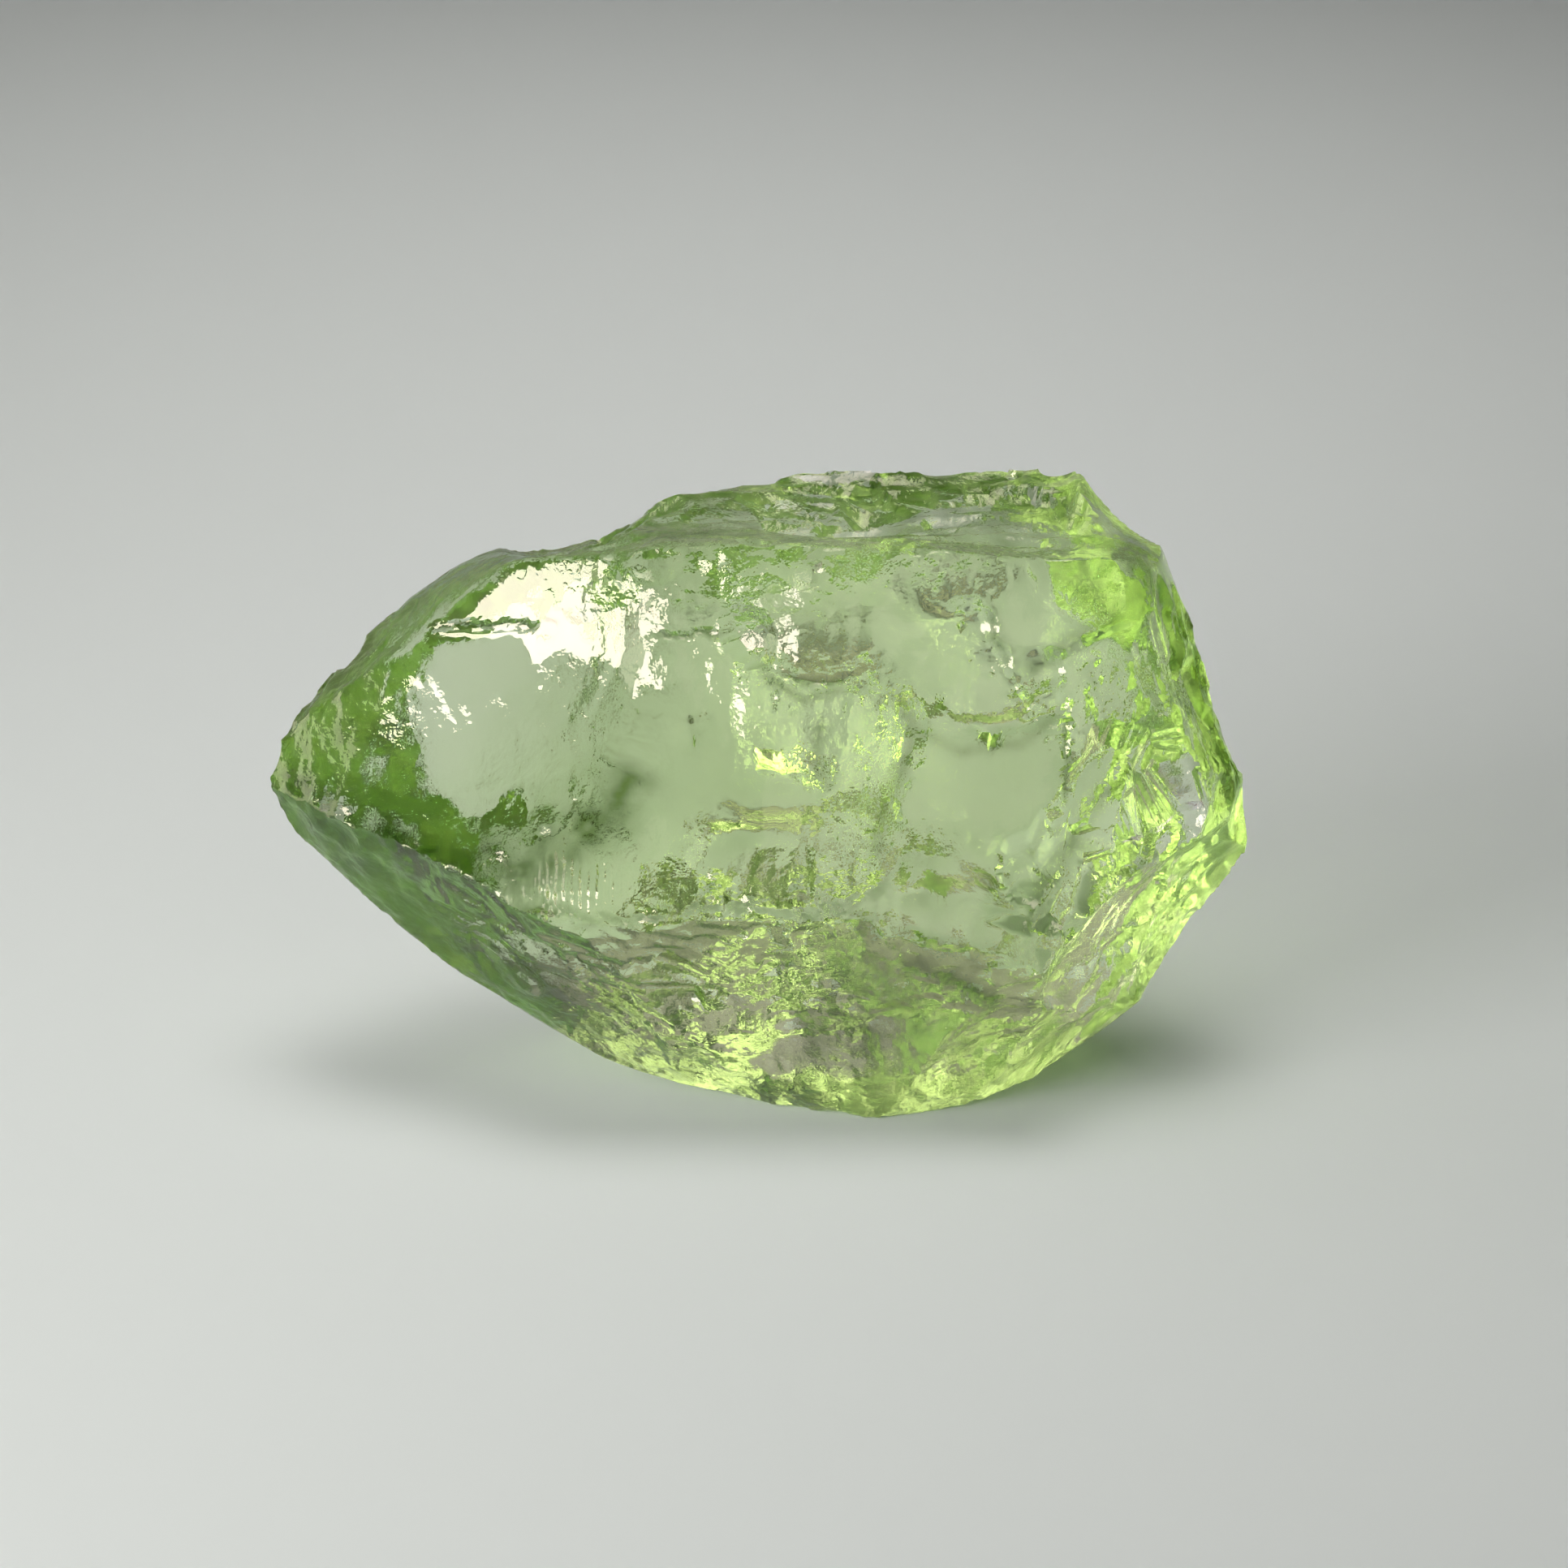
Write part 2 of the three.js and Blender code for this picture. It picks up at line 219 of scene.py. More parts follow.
# The short ledges on the back: how far from the zone's middle, half length, slope, drop, and how soft
NOTCH_SPREAD = 0.5
NOTCH_HALF = (0.12, 0.3)
NOTCH_SLOPE = (-0.5, 0.5)
NOTCH_DROP = (0.08, 0.16)
NOTCH_FADE = 0.25
NOTCH_EDGE = 0.14

# A hairline crack is dark in its core and falls off within its width
CRACK_CORE = 1.3
CRACK_WIDTH = 0.05
CRACK_GRAIN = (0.3, 0.3, 0.3)

# How far the painted shade and veils stray, how much less the narrow ones do, and how patchy they are
SHADE_AND_VEIL_STRAY = 0.12
SHADE_AND_VEIL_STEADY = 3
SHADE_AND_VEIL_GRAIN = (0.5, 0.5, 0.5)
PATCH_SHARE = 0.5
PATCH_GRAIN = (0.4, 0.4, 0.4)

# How wide the waves of each kind of relief are along right, back and up
SWELL_GRAIN = (1.5, 1.5, 1.5)
RIPPLE_GRAIN = (0.5, 0.5, 0.5)
HOLLOW_GRAIN = (0.9, 0.9, 0.7)
CRUMPLE_GRAIN = (0.9, 0.6, 0.35)
WAVE_GRAIN = (0.4, 0.4, 0.8)
RIPPLE_SHARE = 0.35
CREASE_FALL = 2.2

# Chips on the ridges, as in CHIPPED, and how far each scar's heading and way stray
RIDGE_CHIP = {"along": (0, 0, 1), "width": (0.06, 0.32), "stretch": 1, "depth": 0.2}
RIDGE_STRAY = 0.35
SCAR_STRAY = 0.25
WAY_STRAY = 0.25
CHIPPED_RIDGE = math.radians(25)

# Scars keep off the outline, where the skin turns away from the front and the back
OUTLINE_TURN = 0.3
ZONE_RIM = 0.15

# Above 1, most scars are near their smallest width
SMALL_SCARS = 1.5

# How far around a scar's middle its points are looked for: for its size, and in millimetres
SCAR_SEARCH = 1.6
SCAR_MARGIN = 0.1

# The solid's own flats are smoothed up to this turn between them, in so many rounds
FLAT_TURN = math.radians(11)
SPREAD_ROUNDS = 90
FIT_ROUNDS = 25
ROUNDING_ROUNDS = 60
SHARP_TURN = math.radians(35)

# Points nearer than this are one point, and a way shorter than this has no direction
TOUCHING = 0.0005
SHORTEST = 1e-9
TINY = 1e-12

# What the random draws start from
NOTCH_SEED = 9
CHIP_SEED = 5


# Mesh helpers


def corners_of(mesh):
    """The mesh's points as rows, in its own units."""
    points = np.empty(len(mesh.vertices) * 3)
    mesh.vertices.foreach_get("co", points)
    return points.reshape(-1, 3)


def triangles_of(mesh):
    """The three points of each triangle."""
    ends = np.empty(len(mesh.loops), int)
    mesh.loops.foreach_get("vertex_index", ends)
    return ends.reshape(-1, 3)


def facing(points, triangles):
    """The unit normal of each triangle."""
    a, b, c = (points[triangles[:, i]] for i in range(3))
    normals = np.cross(b - a, c - a)
    return normals / np.maximum(np.linalg.norm(normals, axis=1, keepdims=True), TINY)


def edge_ends(triangles):
    """The two points of each triangle's three edges."""
    return np.concatenate([triangles[:, [0, 1]], triangles[:, [1, 2]], triangles[:, [2, 0]]])


def neighbours(triangles):
    """Pairs of triangles that share an edge, and the two points of that edge."""
    edges = np.sort(edge_ends(triangles), axis=1)
    owner = np.tile(np.arange(len(triangles)), 3)
    order = np.lexsort((edges[:, 1], edges[:, 0]))
    edges, owner = edges[order], owner[order]
    shared = np.flatnonzero((edges[1:] == edges[:-1]).all(axis=1))
    return owner[shared], owner[shared + 1], edges[shared]


def gathered(places, values, count):
    """The sum of the rows of values that fall at each place."""
    return np.stack([np.bincount(places, values[:, i], count) for i in range(3)], axis=1)


def even_out(points, triangles, spread, rounds, ridge):
    """Smooths each broken face by spreading its normals, and keeps ridges sharper than `ridge`.

    The normals spread in `spread` rounds, and the points are fitted to them in `rounds` rounds.
    """
    first, second, _ = neighbours(triangles)
    normals = facing(points, triangles)
    keep = math.cos(ridge)
    for _ in range(spread):
        alike = np.maximum((normals[first] * normals[second]).sum(axis=1) - keep, 0)[:, None] ** 2
        alike /= (1 - keep) ** 2
        pull = gathered(first, alike * normals[second], len(normals))
        pull += gathered(second, alike * normals[first], len(normals))
        normals = normals + pull
        normals /= np.linalg.norm(normals, axis=1, keepdims=True)
    met = np.bincount(triangles.ravel(), minlength=len(points))[:, None]
    for _ in range(rounds):
        middles = points[triangles].mean(axis=1)
        move = np.zeros_like(points)
        for i in range(3):
            off = ((middles - points[triangles[:, i]]) * normals).sum(axis=1)[:, None]
            move += gathered(triangles[:, i], off * normals, len(points))
        points = points + move / np.maximum(met, 1)
    return points


def rounded(points, triangles, share, rounds):
    """Rounds the ridges where `share` is above 0, by moving points to the mean of their neighbours."""
    ends = edge_ends(triangles)
    met = np.bincount(ends[:, 0], minlength=len(points))[:, None]
    step = 0.5 * share[:, None]
    for _ in range(rounds):
        mean = gathered(ends[:, 0], points[ends[:, 1]], len(points)) / met
        points = points + step * (mean - points)
    return points


def point_normals(points, triangles):
    """The mean normal at each point."""
    normals = facing(points, triangles)
    summed = sum(gathered(triangles[:, i], normals, len(points)) for i in range(3))
    return summed / np.maximum(np.linalg.norm(summed, axis=1, keepdims=True), TINY)


# Relief of the skin


def face_places(points):
    """Where each point lies on the broad face: right, back and up from its middle."""
    return (points - np.array(FACE_MIDDLE)) @ np.array(FACE_TURN)


def within(places, zones):
    """How far each point is inside any of the zones, from 0 at the rim to 1 in the middle."""
    share = np.zeros(len(places))
    for middle, reach in zones:
        away = np.linalg.norm((places - np.array(middle)) / np.array(reach), axis=1)
        share = np.maximum(share, np.clip(ZONE_RISE * (1 - away), 0, 1))
    return share


def grain(places, scale, seed, octaves=3):
    """Smooth noise from about -1 to 1 at each place, `scale` (right, back, up) millimetres wide."""
    stretched = places / np.array(scale) + SEED_GAP * seed
    return np.array([noise.fractal(place, OCTAVE_FALL, OCTAVE_STEP, octaves) for place in stretched.tolist()])


def creases(places, scale, seed):
    """Sharp-crested noise from 0 to 1."""
    return 1 - np.minimum(np.abs(grain(places, scale, seed)) * CREASE_FALL, 1)


def beside(places, line):
    """How far right of the line each point is, seen from the front, and how far inside its ends."""
    seen = places[:, [0, 2]]
    nearest = np.full(len(places), np.inf)
    aside, run, walked = np.zeros(len(places)), np.zeros(len(places)), 0
    for start, end in zip(np.array(line[:-1]), np.array(line[1:])):
        length = np.linalg.norm(end - start)
        way = (end - start) / length
        off = seen - start
        ahead = np.clip(off @ way, 0, length)
        gap = np.linalg.norm(off - ahead[:, None] * way, axis=1)
        right = off @ np.array((way[1], -way[0]))
        closer = gap < nearest
        nearest = np.where(closer, gap, nearest)
        aside = np.where(closer, np.copysign(gap, right), aside)
        run = np.where(closer, walked + ahead, run)
        walked += length
    return aside, np.clip(LINE_RISE * np.minimum(run, walked - run), 0, 1)


def on_side(outward, side):
    """1 where the skin faces the front (side -1) or the back (side 1) of the stone, else 0."""
    return np.clip(SIDE_RISE * side * (outward @ np.array(FACE_TURN))[:, 1] - SIDE_START, 0, 1)


def notches():
    """Short ledges scattered over the notched parts of the back."""
    chance = random.Random(NOTCH_SEED)
    for zone in NOTCHED:
        for _ in range(zone["count"]):
            spread = [NOTCH_SPREAD * reach for reach in zone["reach"]]
            right, up = (chance.gauss(at, away) for at, away in zip(zone["middle"], spread))
            half, slope = chance.uniform(*NOTCH_HALF), chance.uniform(*NOTCH_SLOPE)
            ends = [(right + way * half, up + way * half * slope) for way in (-1, 1)]
            drop = chance.uniform(*NOTCH_DROP)
            yield {"line": ends, "drop": drop, "fade": NOTCH_FADE, "edge": NOTCH_EDGE, "side": 1}


def eased(share):
    """A share from 0 to 1 that starts and ends softly."""
    return share * share * (3 - 2 * share)


def ledges(places, outward):
    """How far the ledges lower each point, in millimetres."""
    lift = np.zeros(len(places))
    wander = LINE_STRAY * grain(places, LEDGE_GRAIN, seed=6, octaves=2)
    for ledge in (*LEDGES, *notches()):
        aside, inside = beside(places, ledge["line"])
        aside = aside + wander
        fall = np.clip(aside / ledge["edge"], 0, 1)
        fall = eased(fall) * np.exp(-((np.maximum(aside, 0) / ledge["fade"]) ** 2))
        lift -= ledge["drop"] * fall * inside * on_side(outward, ledge["side"])
    return lift


def cracked(places, outward):
    """1 along the hairline cracks, falling to 0 beside them."""
    share = np.zeros(len(places))
    wander = LINE_STRAY * grain(places, CRACK_GRAIN, seed=7)
    for crack in CRACKS:
        aside, inside = beside(places, crack["line"])
        line = np.clip(CRACK_CORE - np.abs(aside + wander) / CRACK_WIDTH, 0, 1)
        share = np.maximum(share, line * inside * on_side(outward, crack["side"]))
    return share


def painted_shade_and_veils(places, outward):
    """How deep the painted shade and the green veils lie under each point."""
    clear = np.ones(len(places))
    wander = SHADE_AND_VEIL_STRAY * grain(places, SHADE_AND_VEIL_GRAIN, seed=11)
    patchy = 1 + PATCH_SHARE * grain(places, PATCH_GRAIN, seed=12)
    for shade_and_veil in PAINTED_SHADE_AND_VEILS:
        aside, inside = beside(places, shade_and_veil["line"])
        stray = wander * min(1, SHADE_AND_VEIL_STEADY * shade_and_veil["width"])
        share = np.exp(-(((aside + stray) / shade_and_veil["width"]) ** 2))
        clear *= 1 - np.clip(shade_and_veil["depth"] * patchy, 0, 1) * share * inside
    return (1 - clear) * (1 - on_side(outward, 1))


def relief(places, outward, looks):
    """How far each point stands out, in millimetres."""
    lift = looks.swell * grain(places, SWELL_GRAIN, seed=1, octaves=2)
    lift += RIPPLE_SHARE * looks.swell * grain(places, RIPPLE_GRAIN, seed=2, octaves=2)
    hollows = looks.mottle + looks.broken * within(places, BROKEN)
    lift += hollows * on_side(outward, 1) * grain(places, HOLLOW_GRAIN, seed=8, octaves=2)
    crests = creases(places, CRUMPLE_GRAIN, seed=3) - 0.5
    lift += looks.crumple * within(places, CRUMPLED) * crests
    uneven = on_side(outward, -1) * (1 - within(places, WINDOWS))
    lift += looks.wave * uneven * grain(places, WAVE_GRAIN, seed=5)
    return lift + ledges(places, outward)


def ridge_points(points, triangles, ridge):
    """The points on ridges sharper than `ridge`."""
    first, second, edges = neighbours(triangles)
    normals = facing(points, triangles)
    return np.unique(edges[(normals[first] * normals[second]).sum(axis=1) < math.cos(ridge)])


def press(points, tree, middle, heading, along, width, stretch, depth):
    """Presses one shallow scar into the skin, measured from the skin's first place at `middle`."""
    long_way = along - (along @ heading) * heading
    long_way = long_way / max(np.linalg.norm(long_way), SHORTEST)
    reach = SCAR_SEARCH * width * stretch + SCAR_MARGIN
    near = np.array([found[1] for found in tree.find_range(middle, reach)])
    away = points[near] - middle
    height = away @ heading
    run = away @ long_way
    aside = np.maximum((away**2).sum(axis=1) - height**2 - run**2, 0)
    over = height + depth - (aside + (run / stretch) ** 2) * depth / width**2
    hit = (over > 0) & (height > -width)
    points[near[hit]] -= over[hit, None] * heading


def chip(points, triangles, count):
    """Breaks small scars out of the ridges and the chipped zones."""
    tree = KDTree(len(points))
    for index, point in enumerate(points.tolist()):
        tree.insert(point, index)
    tree.balance()
    chance = np.random.default_rng(CHIP_SEED)
    outward = point_normals(points, triangles)
    turn = np.array(FACE_TURN)
    off_outline = np.abs((outward @ turn)[:, 1]) > OUTLINE_TURN
    home = points.copy()
    places = face_places(points)

    def scatter(spots, amount, scar, stray):
        least, most = scar["width"]
        for at in chance.choice(spots, amount):
            heading = outward[at] + chance.uniform(-stray, stray, 3)
            heading /= np.linalg.norm(heading)
            width = least * (most / least) ** (chance.random() ** SMALL_SCARS)
            way = turn @ (np.array(scar["along"]) + chance.uniform(-WAY_STRAY, WAY_STRAY, 3))
            press(points, tree, home[at], heading, way, width, scar["stretch"], scar["depth"] * width)

    scatter(ridge_points(points, triangles, CHIPPED_RIDGE), count, RIDGE_CHIP, RIDGE_STRAY)
    for zone in CHIPPED:
        inside = within(places, [(zone["middle"], zone["reach"])]) > ZONE_RIM
        scatter(np.flatnonzero(inside & off_outline), zone["count"], zone, SCAR_STRAY)
    return points


# The stone


class TourmalineStone(bpy.types.PropertyGroup):
    """Sizes and optics of the stone. Lengths are in millimetres."""

    skin: FloatProperty(name="Skin", description="Edge of the triangles of the skin", default=0.062, min=0.03)
    swell: FloatProperty(name="Swell", description="How far the broken faces wave", default=0.012)
    crumple: FloatProperty(name="Crumple", description="Relief of the frosted slope", default=0.05)
    wave: FloatProperty(name="Wave", description="Relief of the broad face between its windows", default=0.04)
    mottle: FloatProperty(name="Mottle", description="Relief of the stone's back", default=0.03)
    broken: FloatProperty(name="Broken", description="More relief where the back is broken", default=0.18)
    chips: IntProperty(name="Chips", description="Small chips along the ridges", default=240, min=0)
    frost: FloatProperty(name="Frost", description="Roughness of the back", default=0.15, min=0, max=1)
    tint: FloatVectorProperty(
        name="Tint",
        description="Share of each colour that passes through the stone",
        subtype="COLOR",
        size=3,
        default=(0.67, 0.91, 0.24),
        min=0,
        max=1,
    )
    # Painted shade: the dark green that the skin is painted towards where shade and veils lie
    shade_and_veil: FloatVectorProperty(
        name="Veil",
        description="Colour of the deepest veils",
        subtype="COLOR",
        size=3,
        default=(0.09, 0.15, 0.025),
        min=0,
        max=1,
    )
    density: FloatProperty(name="Density", description="Depth of the colour, per metre", default=172, min=0)
    refraction: FloatProperty(name="Refraction", description="Refractive index", default=1.63, min=1)


def remeshed(node, skin):
    """The node's shape as an even skin of triangles, in millimetres."""
    mesh = node.data.copy()
    work = bmesh.new()
    work.from_mesh(mesh)
    work.transform(Matrix.Scale(1 / MM, 4))
    bmesh.ops.remove_doubles(work, verts=work.verts, dist=TOUCHING)
    work.to_mesh(mesh)
    work.free()
    draft = bpy.data.objects.new("draft", mesh)
    bpy.context.scene.collection.objects.link(draft)
    voxels = draft.modifiers.new("skin", "REMESH")
    voxels.mode = "VOXEL"
    voxels.voxel_size = skin
    graph = bpy.context.evaluated_depsgraph_get()
    skinned = bpy.data.meshes.new_from_object(draft.evaluated_get(graph))
    bpy.data.objects.remove(draft)
    work = bmesh.new()
    work.from_mesh(skinned)
    bmesh.ops.triangulate(work, faces=work.faces)
    work.to_mesh(skinned)
    work.free()
    return skinned


def paint(mesh, name, values):
    """Stores one number per point, for the material to read."""
    mesh.attributes.new(name, "FLOAT", "POINT").data.foreach_set("value", values.astype(np.float32))


# Widths of the material's fine grain, in millimetres
SKIN_GRAIN = 0.11
FAINT_GRAIN = 0.3
FROST_GRAIN = 0.5

# How close the ribs lie and how far they stray
RIB_RATE = 3.0
RIB_WANDER = 1.5

# Depth of the material's fine relief in millimetres, and each kind's share of it
FINE_DEPTH = 0.04
UNEVEN_DEPTH = 0.4
FAINT_DEPTH = 0.03
RIB_DEPTH = 0.5
CRACK_DEPTH = 0.8

# How dark a crack is, and how rough the crumpled, the uneven and the clear skin are
CRACK_SHADE = 0.9
CRUMPLED_ROUGH = 0.4
UNEVEN_ROUGH = 0.07
CLEAR_ROUGH = 0.015


def stone_material(looks):
    """Clear green tourmaline: glassy, faintly rippled, frosted where the skin is crumpled, and darker green
    where shade is painted into its base colour.
    """
    material = bpy.data.materials.new("tourmaline")
    material.use_nodes = True
    nodes, links = material.node_tree.nodes, material.node_tree.links
    nodes.clear()

    def node(kind, **values):
        made = nodes.new(kind)
        for key, value in values.items():
            setattr(made, key, value)
        return made

    def value(op, a, b):
        made = node("ShaderNodeMath", operation=op)
        for socket, given in zip(made.inputs, (a, b)):
            if isinstance(given, (int, float)):
                socket.default_value = given
            else:
                links.new(given, socket)
        return made.outputs[0]

    def attribute(name):
        return node("ShaderNodeAttribute", attribute_name=name).outputs["Fac"]

    place = node("ShaderNodeTexCoord").outputs["Object"]
    on_face = node("ShaderNodeMapping")
    on_face.inputs["Rotation"].default_value = (LEAN, 0, 0)
    on_face.inputs["Scale"].default_value = (1 / MM,) * 3
    links.new(place, on_face.inputs["Vector"])

    def noise_of(width, detail):
        made = node("ShaderNodeTexNoise")
        made.inputs["Scale"].default_value = 1 / width
        made.inputs["Detail"].default_value = detail
        links.new(on_face.outputs["Vector"], made.inputs["Vector"])
        return made.outputs["Fac"]

    crumpled, hidden, combed = attribute("crumpled"), attribute("hidden"), attribute("combed")
    uneven = value("SUBTRACT", 1, attribute("clear"))
    ribs = node("ShaderNodeTexWave", bands_direction="X")
    ribs.inputs["Scale"].default_value = RIB_RATE
    ribs.inputs["Distortion"].default_value = RIB_WANDER
    ribs.inputs["Detail Scale"].default_value = 1.0
    links.new(on_face.outputs["Vector"], ribs.inputs["Vector"])

    worn = value("MAXIMUM", crumpled, value("MULTIPLY", uneven, UNEVEN_DEPTH))
    rough_skin = value("MULTIPLY", noise_of(SKIN_GRAIN, 2), worn)
    faint = value("MULTIPLY", noise_of(FAINT_GRAIN, 1), FAINT_DEPTH)
    comb = value("MULTIPLY", ribs.outputs["Fac"], value("MULTIPLY", combed, RIB_DEPTH))
    cracks = attribute("cracked")
    height = value("ADD", value("ADD", rough_skin, faint), comb)
    height = value("SUBTRACT", height, value("MULTIPLY", cracks, CRACK_DEPTH))
    bump = node("ShaderNodeBump")
    bump.inputs["Distance"].default_value = FINE_DEPTH * MM
    links.new(height, bump.inputs["Height"])

    glass = node("ShaderNodeBsdfPrincipled")
    # Painted shade: the base colour goes from white to the shade-and-veil colour along the dark hairline
    # cracks and where painted shade and veils lie
    shade = node("ShaderNodeMix", data_type="RGBA")
    dark = value("MAXIMUM", value("MULTIPLY", cracks, CRACK_SHADE), attribute("painted_shade_and_veils"))
    links.new(dark, shade.inputs["Factor"])
    shade.inputs["A"].default_value = (1, 1, 1, 1)
    shade.inputs["B"].default_value = (*looks.shade_and_veil, 1)
    links.new(shade.outputs["Result"], glass.inputs["Base Color"])
    glass.inputs["Transmission Weight"].default_value = 1
    glass.inputs["IOR"].default_value = looks.refraction
    frost = value("MULTIPLY", value("MULTIPLY", crumpled, noise_of(FROST_GRAIN, 1)), CRUMPLED_ROUGH)
    frost = value("MAXIMUM", frost, value("MULTIPLY", uneven, UNEVEN_ROUGH))
    frost = value("MAXIMUM", frost, value("MULTIPLY", hidden, looks.frost))
    links.new(value("ADD", frost, CLEAR_ROUGH), glass.inputs["Roughness"])
    links.new(bump.outputs["Normal"], glass.inputs["Normal"])

    depth = node("ShaderNodeVolumeAbsorption")
    depth.inputs["Color"].default_value = (*looks.tint, 1)
    depth.inputs["Density"].default_value = looks.density
    out = node("ShaderNodeOutputMaterial")
    links.new(glass.outputs["BSDF"], out.inputs["Surface"])
    links.new(depth.outputs["Volume"], out.inputs["Volume"])
    return material


class TOURMALINE_OT_stone(bpy.types.Operator):
    """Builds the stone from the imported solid"""

    bl_idname = "tourmaline.stone"
    bl_label = "Build the stone"

    def execute(self, context):
        """Shapes, paints and hands over the stone."""
        looks = context.scene.tourmaline_stone
        mesh = remeshed(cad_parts[NODE], looks.skin)
        points, triangles = corners_of(mesh), triangles_of(mesh)
        points = even_out(points, triangles, SPREAD_ROUNDS, FIT_ROUNDS, FLAT_TURN)
        hidden = on_side(point_normals(points, triangles), 1)
        soft = np.maximum(hidden, within(face_places(points), WINDOWS))
        points = rounded(points, triangles, soft, ROUNDING_ROUNDS)
        places = face_places(points)
        outward = point_normals(points, triangles)
        points = points + relief(places, outward, looks)[:, None] * outward
        points = chip(points, triangles, looks.chips)
        low, high = (np.array(corner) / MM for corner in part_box(NODE))
        points = np.clip(points, low, high)
        mesh.vertices.foreach_set("co", (points * MM).ravel())
        mesh.shade_smooth()
        mesh.set_sharp_from_angle(angle=SHARP_TURN)
        places = face_places(points)
        paint(mesh, "crumpled", within(places, CRUMPLED))
        paint(mesh, "hidden", on_side(outward, 1))
        paint(mesh, "clear", within(places, WINDOWS))
        paint(mesh, "combed", within(places, COMBED))
        paint(mesh, "cracked", cracked(places, outward))
        # Painted shade: darker green where the stone's light runs long, together with its veils
        paint(mesh, "painted_shade_and_veils", painted_shade_and_veils(places, outward))
        mesh.materials.clear()
        mesh.materials.append(stone_material(looks))
        stone = bpy.data.objects.new("stone", mesh)
        context.scene.collection.objects.link(stone)
        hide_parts(NODE)
        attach(stone, "root")
        return {"FINISHED"}


# The studio


class TourmalineStudio(bpy.types.PropertyGroup):
    """The floor, the lights and the camera."""

    floor: FloatVectorProperty(
        name="Floor",
        description="Colour of the floor",
        subtype="COLOR",
        size=3,
        default=(0.71, 0.84, 0.93),
        min=0,
        max=1,
    )
    air_left: FloatProperty(name="Air left", description="Brightness on the left", default=0.3, min=0)
    air_right: FloatProperty(name="Air right", description="Brightness on the right", default=0.02, min=0)
    air_behind: FloatProperty(name="Air behind", description="Brightness added behind", default=0.2, min=0)
    top: FloatProperty(name="Top", description="Brightness of the box above", default=0.5, min=0)
    window: FloatProperty(name="Window", description="Brightness of the left window", default=1.9, min=0)
    key: FloatProperty(name="Key", description="Brightness of the box in front left", default=13, min=0)
    fill: FloatProperty(name="Fill", description="Brightness of the box over the camera", default=0.6, min=0)
    warmth: FloatVectorProperty(
        name="Warmth",
        description="Colour of the four lights",
        subtype="COLOR",
        size=3,
        default=(1.15, 1, 0.86),
        min=0,
    )
    lens: FloatProperty(name="Lens", description="Focal length in millimetres", default=150, min=10)
    width: FloatProperty(name="Width", description="Width of the view at the stone", default=20.3, min=5)


# Each light's place, the place it is turned to, its two sides and how many degrees it spreads
TOP_LIGHT = {"place": (0, 22, 70), "target": (0, 22, 0), "size": (40, 80), "spread": 60}
WINDOW_LIGHT = {"place": (-95, 8, 24), "target": (0, 0, 3.5), "size": (130, 40), "spread": 180}
KEY_LIGHT = {"place": (-50, -49, 25), "target": (0, 0, 3.5), "size": (42, 25), "spread": 180}
FILL_LIGHT = {"place": (16, -79, 54), "target": (0, 0, 3.5), "size": (60, 40), "spread": 180}

# The middle of the view on the broad face, and where the view begins, in metres
VIEW_MIDDLE = (0.27, 0, -0.06)
CLIP_START = 0.005

# Half the floor's side in metres, and how far it lies under the stone in millimetres
FLOOR_HALF = 2
FLOOR_GAP = 0.01
FLOOR_ROUGH = 0.9
FLOOR_SHINE = 0.1

# How often light turns inside the stone and on its skin, and how much noise may stay
BOUNCES = 12
SHINE_BOUNCES = 6
NOISE_LEFT = 0.1

# The room's own colour, and where it turns from left to right, from low to high and to the back
AIR_COLOUR = (1.1, 1.0, 0.88, 1)
AIR_SIDES = (-0.6, 0.6)
AIR_HEIGHTS = (0.5, 0.65)
AIR_DEPTHS = (0.75, 1)
AIR_ABOVE = 0.1


def soft_box(name, form, brightness, colour):
    """A soft rectangular light of the given form, in millimetres."""
    place, target = Vector(form["place"]), Vector(form["target"])
    light = bpy.data.lights.new(name, "AREA")
    light.shape = "RECTANGLE"
    light.size, light.size_y = (side * MM for side in form["size"])
    light.energy = brightness * math.pi * light.size * light.size_y
    light.color = colour
    light.spread = math.radians(form["spread"])
    lamp = bpy.data.objects.new(name, light)
    lamp.location = place * MM
    lamp.rotation_euler = (target - place).to_track_quat("-Z", "Y").to_euler()
    lamp.visible_camera = False
    bpy.context.scene.collection.objects.link(lamp)
    return lamp


def make_floor(colour):
    """A plain, pale floor just under the stone."""
    mesh = bpy.data.meshes.new("floor")
    work = bmesh.new()
    bmesh.ops.create_grid(work, x_segments=1, y_segments=1, size=FLOOR_HALF)
    work.to_mesh(mesh)
    work.free()
    material = bpy.data.materials.new("floor")
    material.use_nodes = True
    shader = material.node_tree.nodes["Principled BSDF"]
    shader.inputs["Base Color"].default_value = (*colour, 1)
    shader.inputs["Roughness"].default_value = FLOOR_ROUGH
    shader.inputs["Specular IOR Level"].default_value = FLOOR_SHINE
    mesh.materials.append(material)
    floor = bpy.data.objects.new("floor", mesh)
    floor.location.z = -FLOOR_GAP * MM
    bpy.context.scene.collection.objects.link(floor)
    return floor


def make_camera(lens, width):
    """A camera that looks square on the broad face."""
    data = bpy.data.cameras.new("camera")
    data.lens = lens
    data.clip_start = CLIP_START
    camera = bpy.data.objects.new("camera", data)
    distance = width * lens / data.sensor_width
    target = on_scene(*VIEW_MIDDLE)
    place = target - FACE_TURN @ Vector((0, distance, 0))
    camera.location = place * MM
    camera.rotation_euler = (target - place).to_track_quat("-Z", "Y").to_euler()
    bpy.context.scene.collection.objects.link(camera)
    bpy.context.scene.camera = camera
    return camera


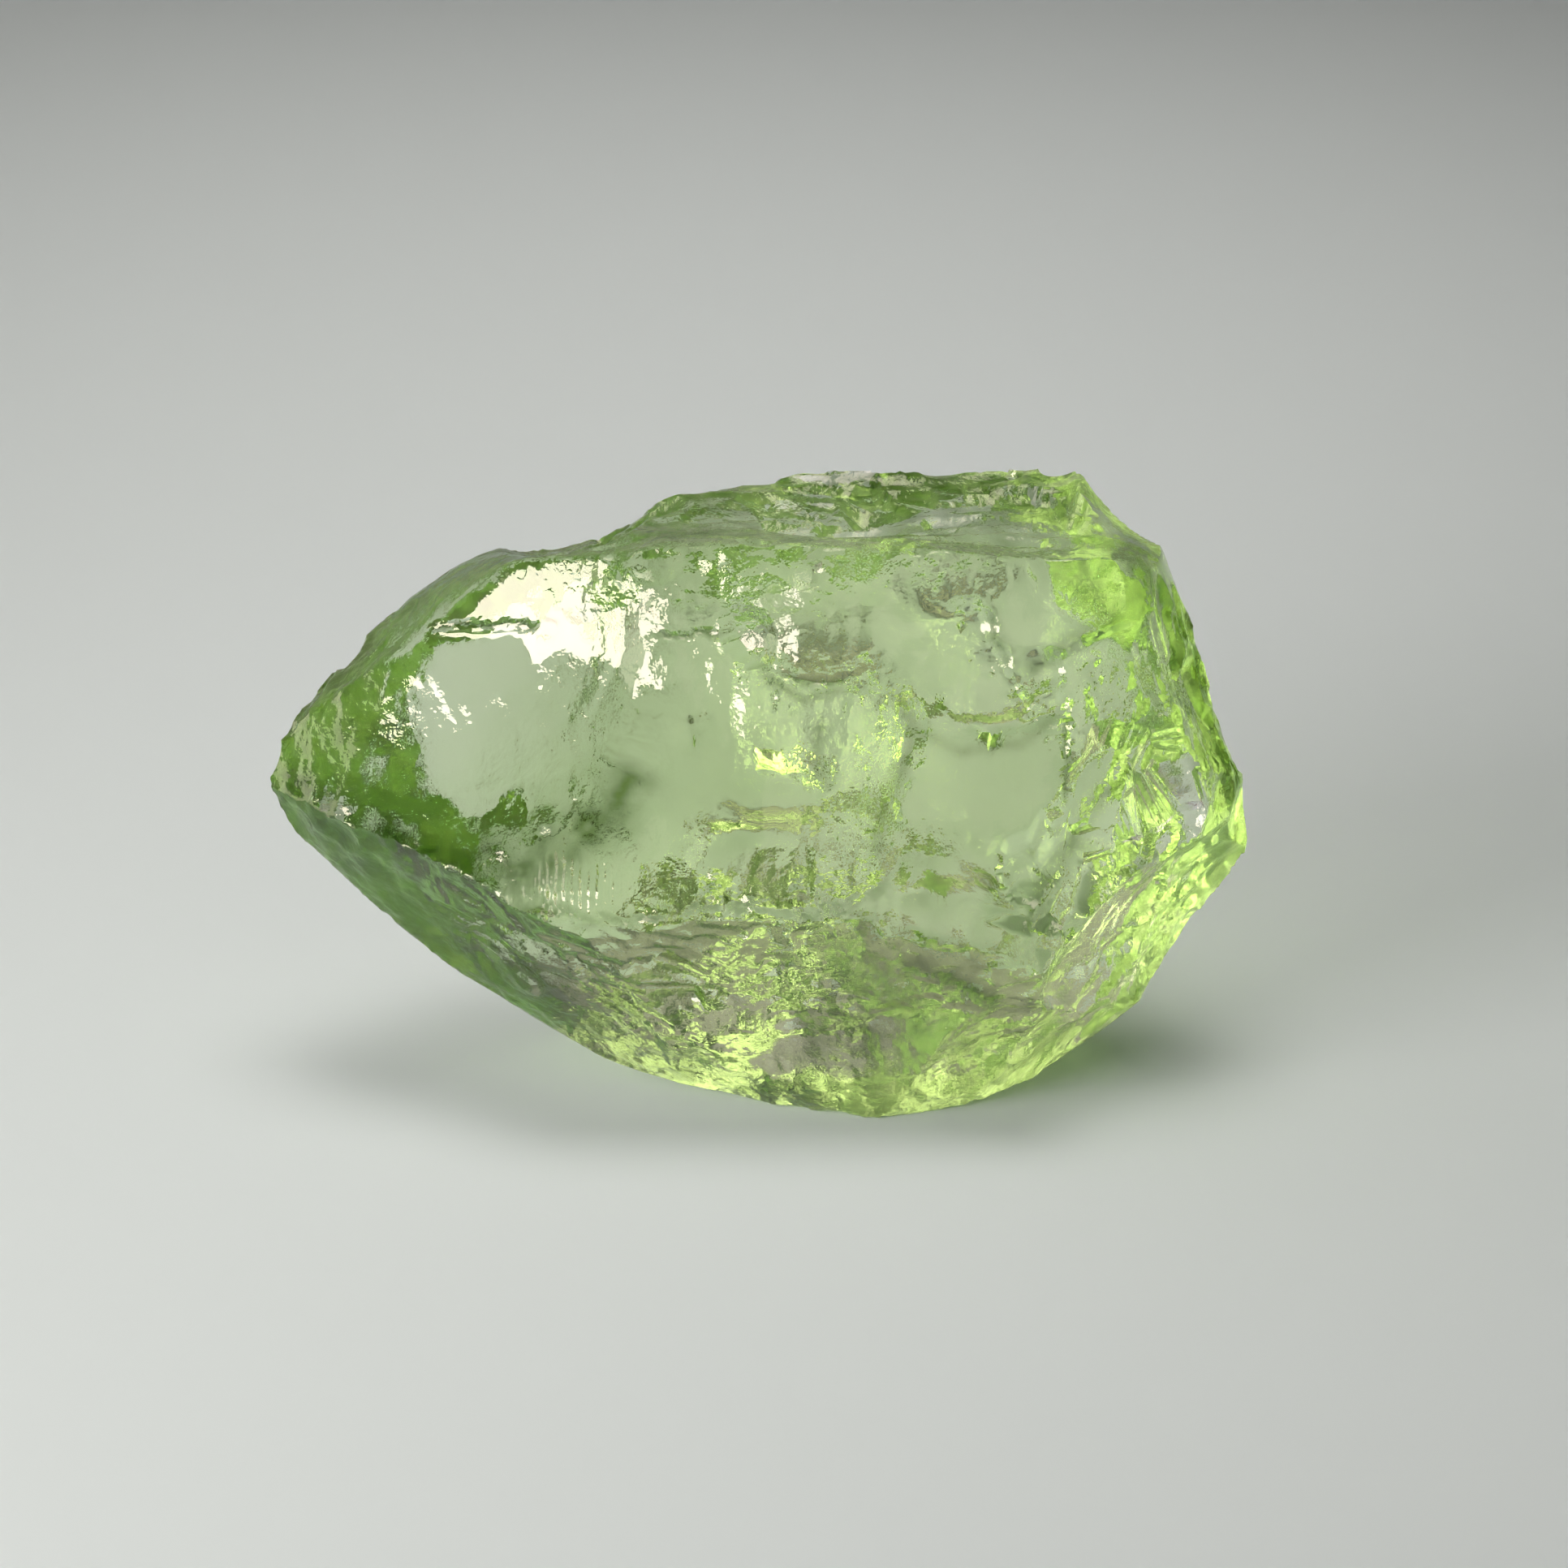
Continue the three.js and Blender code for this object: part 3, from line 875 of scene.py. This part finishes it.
def make_air(left, right, behind):
    """The room's own light: brighter on the left and low behind the stone."""
    world = bpy.data.worlds.new("air")
    world.use_nodes = True
    nodes, links = world.node_tree.nodes, world.node_tree.links
    backdrop = nodes["Background"]
    backdrop.inputs["Color"].default_value = AIR_COLOUR
    split = nodes.new("ShaderNodeSeparateXYZ")
    links.new(nodes.new("ShaderNodeTexCoord").outputs["Generated"], split.inputs["Vector"])

    def ramp(output, reach, first, last):
        made = nodes.new("ShaderNodeMapRange")
        for name, value in zip(("From Min", "From Max", "To Min", "To Max"), (*reach, first, last)):
            made.inputs[name].default_value = value
        links.new(split.outputs[output], made.inputs["Value"])
        return made.outputs["Result"]

    shade = nodes.new("ShaderNodeMath")
    shade.operation = "MULTIPLY_ADD"
    links.new(ramp("X", AIR_SIDES, left, right), shade.inputs[0])
    links.new(ramp("Z", AIR_HEIGHTS, 1, AIR_ABOVE), shade.inputs[1])
    links.new(ramp("Y", AIR_DEPTHS, 0, behind), shade.inputs[2])
    links.new(shade.outputs[0], backdrop.inputs["Strength"])
    bpy.context.scene.world = world


class TOURMALINE_OT_studio(bpy.types.Operator):
    """Sets up the floor, the lights and the camera"""

    bl_idname = "tourmaline.studio"
    bl_label = "Set up the studio"

    def execute(self, context):
        """Makes the floor, the air, the lights and the camera."""
        looks = context.scene.tourmaline_studio
        scene = context.scene
        floor = make_floor(looks.floor)
        make_air(looks.air_left, looks.air_right, looks.air_behind)
        lights = [
            soft_box("top_light", TOP_LIGHT, looks.top, looks.warmth),
            soft_box("window_light", WINDOW_LIGHT, looks.window, looks.warmth),
            soft_box("key_light", KEY_LIGHT, looks.key, looks.warmth),
            soft_box("fill_light", FILL_LIGHT, looks.fill, looks.warmth),
        ]
        camera = make_camera(looks.lens, looks.width)
        scene.view_settings.view_transform = "Standard"
        scene.cycles.max_bounces = BOUNCES
        scene.cycles.transmission_bounces = BOUNCES
        scene.cycles.glossy_bounces = SHINE_BOUNCES
        scene.cycles.adaptive_threshold = NOISE_LEFT
        return {"FINISHED"}


class TOURMALINE_PT_panel(bpy.types.Panel):
    """The stone's and the studio's settings"""

    bl_label = "Rough Tourmaline"
    bl_space_type = "VIEW_3D"
    bl_region_type = "UI"
    bl_category = "Tourmaline"

    def draw(self, context):
        """Shows each group's settings with the button that builds from them."""
        for group, operator in (
            (context.scene.tourmaline_stone, TOURMALINE_OT_stone),
            (context.scene.tourmaline_studio, TOURMALINE_OT_studio),
        ):
            column = self.layout.column()
            for name in group.__annotations__:
                column.prop(group, name)
            column.operator(operator.bl_idname)


CLASSES = (TourmalineStone, TourmalineStudio, TOURMALINE_OT_stone, TOURMALINE_OT_studio, TOURMALINE_PT_panel)


def register():
    """Adds the settings, the operators and the panel."""
    for entry in CLASSES:
        bpy.utils.register_class(entry)
    bpy.types.Scene.tourmaline_stone = PointerProperty(type=TourmalineStone)
    bpy.types.Scene.tourmaline_studio = PointerProperty(type=TourmalineStudio)


def unregister():
    """Takes them away again."""
    del bpy.types.Scene.tourmaline_stone
    del bpy.types.Scene.tourmaline_studio
    for entry in reversed(CLASSES):
        bpy.utils.unregister_class(entry)


def main():
    """Builds the stone and the studio."""
    register()
    bpy.ops.tourmaline.stone()
    bpy.ops.tourmaline.studio()


if __name__ == "__main__":
    main()
